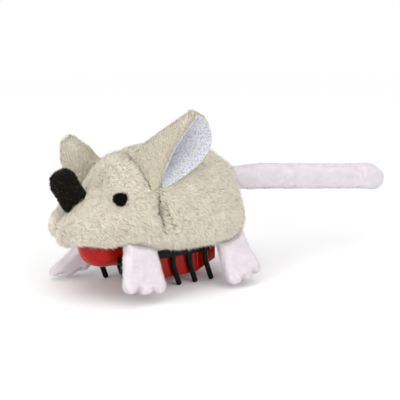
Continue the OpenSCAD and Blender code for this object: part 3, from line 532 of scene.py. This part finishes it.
def coverPile(piece, tones):
    noseTree = treeOf(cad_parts["nose_tab"])

    def wanted(places, ups):
        # bare under the nose and along the parted seam and fold
        across, behind, parted = seamDistance(places)
        ragged = cover["slitRagged"] * lumps(places, cover["slitRaggedSize"] * mm, 19)
        slit = np.abs(across) < (cover["seamSlit"] + ragged) * mm
        slit |= np.abs(behind) < (cover["foldSlit"] + ragged) * mm
        slit &= parted > 0.3
        nose = np.array([noseTree.find_nearest(Vector(p))[3] for p in places]) < 0.8 * mm
        return (facesOut(places, ups) & ~slit & ~nose).astype(float)

    roots, ups = scatter(piece, cover["locks"], wanted, 11)
    across, behind, parted = seamDistance(roots)
    near = np.exp(-np.abs(across) / (1.5 * mm)) * parted
    # the darkest tone on locks along the seam, the fold and the head folds is painted shade
    shade = cover["seamShade"] * bell(across, cover["seamShadeWidth"] * mm) * parted
    shade += cover["foldShade"] * bell(behind, cover["foldShadeWidth"] * mm) * parted
    shade += cover["headFoldShade"] * foldDepth(roots)
    hem = np.exp(-np.clip(roots[:, 2] - coverLow.z - 1 * mm, 0, None) / (cover["hemReach"] * mm))
    # combed back and a little down, more so on the sides and at the hem, and away from the seam
    flow = np.tile(np.array([0.0, 1.0, -0.25]), (len(roots), 1))
    flow[:, 2] -= cover["sideDroop"] * np.abs(roots[:, 0]) / (cover["halfWidth"] * mm)
    flow[:, 2] -= cover["hemDroop"] * hem
    flow += np.array([0.0, 1.0, 0.0]) * (np.sign(across) * near)[:, None]
    length = pile["length"] * mm * (1 - 0.35 * near) * (1 + 0.15 * lumps(roots, 3 * mm, 9))
    growLocks("coverPile", roots, ups, flow, length * (1 + 0.25 * hem), pile["width"] * mm,
              pile["lift"], pile["spread"], tones, 21, shade)


def treeOf(piece):
    return BVHTree.FromPolygons([tuple(v) for v in points(piece)], [tuple(t) for t in triangles(piece)])


def makeCover():
    skin = softCopy("coverSkin", "plush_cover", cover["voxel"], cover["rounds"])
    sculptCover(skin)
    skin.data.materials.append(materials["shadedBacking"])
    coverPile(skin, materials["pile"])
    return treeOf(skin)


# lengths in millimetres, rounds of smoothing, locks on each side
ear = {
    "voxel": 0.36, "rounds": 6, "liningVoxel": 0.2, "liningRounds": 7,
    "locks": {"left": 18000, "right": 12000}, "bareBehind": 1.5, "bareRim": 0.9, "jointReach": 0.8,
    "pileShare": 0.8, "pileSunk": 0.6, "pileLift": 3,
    "touches": {
        "rightEarBack": [((-14, -13.5, 29.5), 4, (0, 0.5, -4)), ((-17, -11, 38.1), 5, (0, 0.6, 0.4)),
                         ((-19, -18.2, 37.2), 5, (0, 0.5, 0))],
        "leftEarBack": [((9, 12.5, 51), 4, (0, 0.5, 0.6))],
        "leftEarLining": [((9, 12.5, 51), 4, (0, 0.7, 1)), ((14.5, -3, 33), 3, (-0.4, -1.8, 0.1)),
                          ((15.9, 11.1, 47.4), 6, (0, 0.5, 0.3))],
    },
}


def makeEar(side):
    lining = softCopy(side + "EarLining", side + "_ear_lining", ear["liningVoxel"], ear["liningRounds"])
    touchUp(lining, ear["touches"])
    lining.data.materials.append(materials["lining"])
    back = softCopy(side + "EarBack", side + "_ear_outer", ear["voxel"], ear["rounds"])
    touchUp(back, ear["touches"])
    back.data.materials.append(materials["shadedBacking"])
    tree = treeOf(lining)
    roots, ups = scatter(back, ear["locks"][side], everywhere, 31)
    # no locks on the lined face: they start further from the lining behind the ear than at its rim
    rim = np.array([(tree.find_nearest(Vector(p))[3] or 1) / mm for p in roots])
    lined = np.array([(tree.find_nearest(Vector(p))[0] or Vector()).y for p in roots])
    outer = rim > np.where(roots[:, 1] > lined + 0.2 * mm, ear["bareBehind"], ear["bareRim"])
    roots, ups = roots[outer], ups[outer]
    flow = np.tile(np.array([0.0, -0.4, 0.8]), (len(roots), 1))
    # longer and tousled where the ear is sewn to the cover
    toSkin = np.array([skinTree.find_nearest(Vector(p))[3] for p in roots])
    joint = np.exp(-toSkin / (ear["jointReach"] * mm))
    flow += joint[:, None] * np.random.default_rng(42).normal(size=flow.shape) * 2
    length = ear["pileShare"] * pile["length"] * mm * (1 + 0.5 * joint)
    growLocks(side + "EarPile", roots - ups * ear["pileSunk"] * mm, ups, flow, length,
              pile["width"] * mm, ear["pileLift"], pile["spread"], materials["earPile"], 41)


# lengths in millimetres; ragged is how far the outline wanders, swell how far it grows
felt = {
    "voxel": 0.25, "rounds": 3, "wanderSize": 1.7, "hairLength": 0.6, "hairWidth": 0.09, "hairLift": 30,
    "nose": {"hairs": 4500, "ragged": 0.25, "swell": 0.25},
    "eye": {"hairs": 1125, "ragged": 0.4, "swell": -0.2},
    "touches": {
        "rightEye": [((-12, -15, 27), 20, (-0.1, 0.4, -0.8))],
        "noseTab": [((0, -24, 31), 60, (-0.2, -0.4, -0.75)), ((0, -22.6, 27.2), 1.8, (0, -0.3, 0.7))],
    },
}


def makeFelt(name, node, sizes, tones):
    piece = softCopy(name, node, felt["voxel"], felt["rounds"])
    ripple(piece, sizes["ragged"], felt["wanderSize"], 7, sizes["swell"])
    touchUp(piece, felt["touches"])
    piece.data.materials.append(tones[0])
    growFuzz(name + "Fuzz", piece, sizes["hairs"], felt["hairLength"], felt["hairWidth"],
             felt["hairLift"], tones, 51)


# cap is how far the filling may push, keep how much of the outline stays
paw = {
    "voxel": 0.36, "rounds": 3, "pressure": 5.0, "cap": 0.9, "keep": 0.8, "hairs": 5000,
    "touches": {
        "frontLeftPaw": [((18.8, -5.8, 4), 3, (0, 0.3, -0.9)), ((18.5, -15.6, 5), 3, (0, 0.2, -0.2)),
                         ((14, -9.6, 16.5), 5, (0, 0, 0.8)), ((13.5, -14, 15.6), 2, (0, 0.8, 0))],
        "frontRightPaw": [((-13, -20, 8.5), 5, (0, 2.8, 0)), ((-12.5, -16, 3.5), 6, (0, 0.5, -1.3))],
        "rearLeftPaw": [((18, 28.9, 6.3), 5, (0, -1.7, 0)), ((15.4, 25.9, 12), 5, (0, -1.2, 0))],
        "rearRightPaw": [((-18, 28.9, 6.3), 5, (0, -1.7, 0)), ((-15.4, 25.9, 12), 5, (0, -1.2, 0))],
    },
}
tail = {
    "voxel": 0.5, "rounds": 3, "pressure": 3.0, "cap": 0.5, "keep": 0.6, "hairs": 12000,
    "touches": {"tailTube": [
        ((0, 60, 22), 60, (0, 0, -0.35)), ((0, 28, 32.3), 6, (0, 0, -1.5)),
        ((0, 82, 25.2), 3, (0, -1, -0.8)), ((0, 82.5, 17.2), 3, (0, 0.8, -0.5))]},
}
nap = {"length": 0.5, "width": 0.07, "lift": 35, "unevenness": 0.12, "unevenSize": 2.8}


def makePadded(name, node, sizes):
    piece = softCopy(name, node, sizes["voxel"], sizes["rounds"])
    inflate(piece, sizes["pressure"], sizes["cap"], sizes["keep"])
    ripple(piece, nap["unevenness"], nap["unevenSize"], 13)
    touchUp(piece, sizes["touches"])
    piece.data.materials.append(materials["fleece"])
    growFuzz(name + "Nap", piece, sizes["hairs"], nap["length"], nap["width"], nap["lift"],
             [materials["fleece"]], 61)


belly = {"voxel": 0.3, "rounds": 3, "unevenness": 0.15, "unevenSize": 4}


def makeBelly():
    piece = softCopy("bellyPanel", "belly_panel", belly["voxel"], belly["rounds"])
    ripple(piece, belly["unevenness"], belly["unevenSize"], 17)
    piece.data.materials.append(materials["woven"])


def dress(material, *nodes):
    for node in nodes:
        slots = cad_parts[node].data.materials
        slots.clear()
        slots.append(material)


# angles in degrees; distance, aim and lens in millimetres, aim from the drive's middle
camera = {"azimuth": 61, "elevation": 17, "distance": 430, "aim": (6.3, 13.9, 24.1),
          "focalLength": 134.289, "sensor": 36}


def makeCamera():
    azimuth, elevation = math.radians(camera["azimuth"]), math.radians(camera["elevation"])
    away = Vector((math.sin(azimuth) * math.cos(elevation), -math.cos(azimuth) * math.cos(elevation),
                   math.sin(elevation)))
    lens = bpy.data.cameras.new("camera")
    lens.sensor_width = camera["sensor"]
    lens.lens = camera["focalLength"]
    lens.clip_start = 0.01
    lens.clip_end = 20
    eye = bpy.data.objects.new("camera", lens)
    aim = Vector(camera["aim"]) * mm + Vector((0, driveMiddle.y, 0))
    eye.location = aim + away * camera["distance"] * mm
    eye.rotation_euler = (-away).to_track_quat("-Z", "Y").to_euler()
    bpy.context.collection.objects.link(eye)
    bpy.context.scene.camera = eye


# metres and watts
lamps = {
    "top": {"place": (0.05, -0.05, 0.7), "aim": (0, -0.02, 0.02), "size": (0.8, 0.8), "power": 2.25},
    "front": {"place": (0.12, -0.46, 0.17), "aim": (0, -0.02, 0.01), "size": (0.32, 0.3), "power": 1.0},
    "side": {"place": (0.6, 0.2, 0.35), "aim": (0, -0.02, 0.02), "size": (0.5, 0.4), "power": 1.6},
}


def makeLamp(name, place, aim, size, power):
    light = bpy.data.lights.new(name, "AREA")
    light.shape = "RECTANGLE"
    light.size, light.size_y = size
    light.energy = power
    lamp = bpy.data.objects.new(name, light)
    lamp.location = place
    lamp.rotation_euler = (Vector(aim) - Vector(place)).to_track_quat("-Z", "Y").to_euler()
    bpy.context.collection.objects.link(lamp)


# metres; the floor keeps its shadow near the mouse and fades to plain white further off
studio = {"floorReach": 3.0, "fadeStart": 0.09, "fadeEnd": 0.3, "floorColour": "#fdfdfd", "daylight": 0.6}


def makeFloor():
    r = studio["floorReach"]
    corners = np.array([[-r, -r, 0], [r, -r, 0], [r, r, 0], [-r, r, 0]])
    floor = bpy.data.objects.new("floor", meshOf("floor", corners, np.array([[0, 1, 2, 3]])))
    bpy.context.collection.objects.link(floor)
    # matt white paper sweep: no highlight, only the soft shadow
    material, tree, shader, place = newMaterial("paleFloor", {
        "Base Color": linear(studio["floorColour"]), "Roughness": 0.9, "Specular IOR Level": 0.1})
    far = addNode(tree, "ShaderNodeVectorMath", [(0, place)], operation="LENGTH")
    fade = addNode(tree, "ShaderNodeMapRange", [("Value", far.outputs["Value"])],
                   **{"From Min": studio["fadeStart"], "From Max": studio["fadeEnd"]})
    path = addNode(tree, "ShaderNodeLightPath")
    seen = addNode(tree, "ShaderNodeMath",
                   [(0, fade.outputs[0]), (1, path.outputs["Is Camera Ray"])], operation="MULTIPLY")
    white = addNode(tree, "ShaderNodeEmission", Color=(1, 1, 1, 1), Strength=1)
    addNode(tree, "ShaderNodeMixShader",
            [(0, seen.outputs[0]), (1, shader.outputs[0]), (2, white.outputs[0])],
            [(0, tree.nodes["Material Output"].inputs["Surface"])])
    floor.data.materials.append(material)


def makeWorld():
    # full white to the eye and in reflections, dimmer daylight on the surfaces
    world = bpy.data.worlds.new("studio")
    bpy.context.scene.world = world
    world.use_nodes = True
    tree = world.node_tree
    plain = tree.nodes["Background"]
    plain.inputs["Color"].default_value = (1, 1, 1, 1)
    plain.inputs["Strength"].default_value = studio["daylight"]
    bright = addNode(tree, "ShaderNodeBackground", Color=(1, 1, 1, 1), Strength=1)
    path = addNode(tree, "ShaderNodeLightPath")
    rays = path.outputs["Is Camera Ray"]
    for kind in ("Is Glossy Ray", "Is Transmission Ray"):
        rays = addNode(tree, "ShaderNodeMath", [(0, rays), (1, path.outputs[kind])],
                       operation="MAXIMUM").outputs[0]
    addNode(tree, "ShaderNodeMixShader", [(0, rays), (1, plain.outputs[0]), (2, bright.outputs[0])],
            [(0, tree.nodes["World Output"].inputs["Surface"])])
    bpy.context.scene.view_settings.view_transform = "Standard"


greyFelt = feltMaterial("greyFelt", ("#55534a", "#7a776d", "#a09d92"))
noseFelt = feltMaterial("blackFelt", ("#0d0c09", "#24221d", "#54524a"))
eyeFelt = feltMaterial("deepBlackFelt", ("#080705", "#191713", "#3a3832"))
materials = {
    # locks of plush take the first tone, or now and then the duller and the darker ones; the last
    # tone is painted shade, put on locks along the seam, the fold and the head folds
    "pile": [pileMaterial("plushPile", "#f8f0dd", "#fffaec"),
             pileMaterial("plushPileDull", "#e6dcc5", "#f5ecd8"),
             pileMaterial("plushPileDark", "#a89c84", "#c4b9a1"),
             pileMaterial("plushPilePaintedShade", "#6a614f", "#8b816b")],
    # the ears' plush is the cover's plush in darker tones: painted shade
    "earPile": [pileMaterial("earPile", "#ded7c5", "#ece5d5"),
                pileMaterial("shadedEarPileDull", "#d2cbb8", "#e0dac9"),
                pileMaterial("shadedEarPileDark", "#b5ab96", "#c9c0ab")],
    # darker than the pile: painted shade under the pile
    "shadedBacking": shadedBackingMaterial(),
    "lining": liningMaterial(),
    "noseFelt": [noseFelt, noseFelt, greyFelt],
    "eyeFelt": [eyeFelt, eyeFelt, noseFelt],
    "fleece": fleeceMaterial(),
    "woven": wovenMaterial(),
    # injection-moulded ABS, polished mould: deep even red with a sharp highlight
    "redAbs": mouldedMaterial("mouldedRedAbs", "#9a1106", "#ab1308", 0.1, 3.0, 0.2),
    # compression-moulded rubber: black with a broad dim highlight along each leg
    "blackRubber": mouldedMaterial("mouldedBlackRubber", "#020202", "#050605", 0.22, 1.2, 0.16),
    # moulded nylon: slightly waxy and less glossy than the ABS
    "blackNylon": mouldedMaterial("mouldedBlackNylon", "#141416", "#1d1d20", 0.4, 0.8),
    "whiteNylon": mouldedMaterial("mouldedWhiteNylon", "#d9d4c6", "#ebe7dc", 0.45, 0.8),
    # glass-fibre laminate under green resist: satin, faintly cloudy
    "laminate": mouldedMaterial("greenResistLaminate", "#24583a", "#337548", 0.35, 0.6),
    # extruded vinyl insulation: satin, one flat colour
    "redWire": mouldedMaterial("extrudedRedVinyl", "#a01818", "#b82020", 0.4, 0.6),
    "blackWire": mouldedMaterial("extrudedBlackVinyl", "#141414", "#202020", 0.4, 0.6),
    # drawn and plated steel: bright, with fine lines
    "steel": metalMaterial("drawnSteel", "#9a9da1", "#c4c7ca", 0.28),
    # rolled spring brass: warm yellow, with fine lines
    "brass": metalMaterial("rolledSpringBrass", "#b3923f", "#d8bc6a", 0.3),
    # sintered tungsten alloy: dull grey-brown
    "weight": metalMaterial("sinteredHeavyAlloy", "#6e675c", "#94897a", 0.45),
}
print("materials made")

makeCamera()
makeFloor()
for name, lamp in lamps.items():
    makeLamp(name, **lamp)
makeWorld()
print("camera, floor and lamps made")
skinTree = makeCover()
print("cover made")
makeEar("left")
makeEar("right")
print("ears made")
makeFelt("noseTab", "nose_tab", felt["nose"], materials["noseFelt"])
makeFelt("leftEye", "left_eye", felt["eye"], materials["eyeFelt"])
makeFelt("rightEye", "right_eye", felt["eye"], materials["eyeFelt"])
for end in ("front", "rear"):
    for side in ("left", "right"):
        makePadded(end + side.capitalize() + "Paw", end + "_" + side + "_paw", paw)
makePadded("tailTube", "tail", tail)
makeBelly()
print("felt, paws, tail and belly made")

dress(materials["redAbs"], "chassis", "upper_shell", "battery_door")
dress(materials["blackRubber"], "left_leg_strip", "right_leg_strip")
dress(materials["steel"], "motor_can", "motor_shaft", "switch_body", "button_cell", "door_screw",
      "case_screws")
dress(materials["weight"], "eccentric_weight")
dress(materials["whiteNylon"], "motor_end_cap")
dress(materials["blackNylon"], "switch_knob")
dress(materials["laminate"], "circuit_board")
dress(materials["brass"], "positive_contact", "negative_contact")
dress(materials["redWire"], "motor_lead_red")
dress(materials["blackWire"], "motor_lead_black")
dress(materials["shadedBacking"], "head_filling", "rump_filling")
print("drive dressed")
